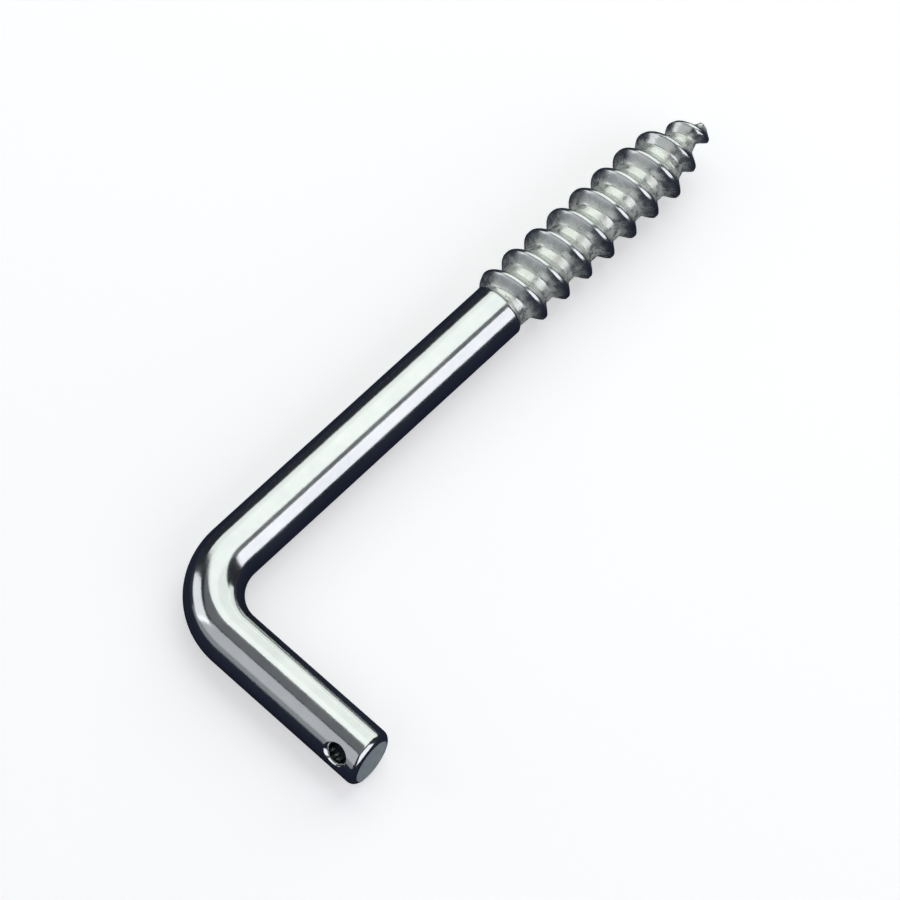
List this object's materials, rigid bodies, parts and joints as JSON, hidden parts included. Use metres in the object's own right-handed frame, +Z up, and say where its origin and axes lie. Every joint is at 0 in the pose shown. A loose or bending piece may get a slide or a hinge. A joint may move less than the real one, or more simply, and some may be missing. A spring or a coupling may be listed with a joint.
{
  "type": "screw-in hinge pin",
  "caption": "L-shaped steel hinge pin: a plain round pin with a cross hole, a right-angle bend, and a shank with a wood thread and point.",
  "frame": {"origin": "on the pin's axis, where the bend ends and the straight pin starts", "axes": "+X along the pin towards its free end, +Y along the shank towards the screw point, +Z up from the floor that it lies on"},
  "size_m": [0.0311, 0.082, 0.0084],
  "materials": {
    "zinc_steel": "bright zinc plate"
  },
  "bodies": {
    "root": {"hinge_pin": "zinc_steel"}
  },
  "joints": []
}
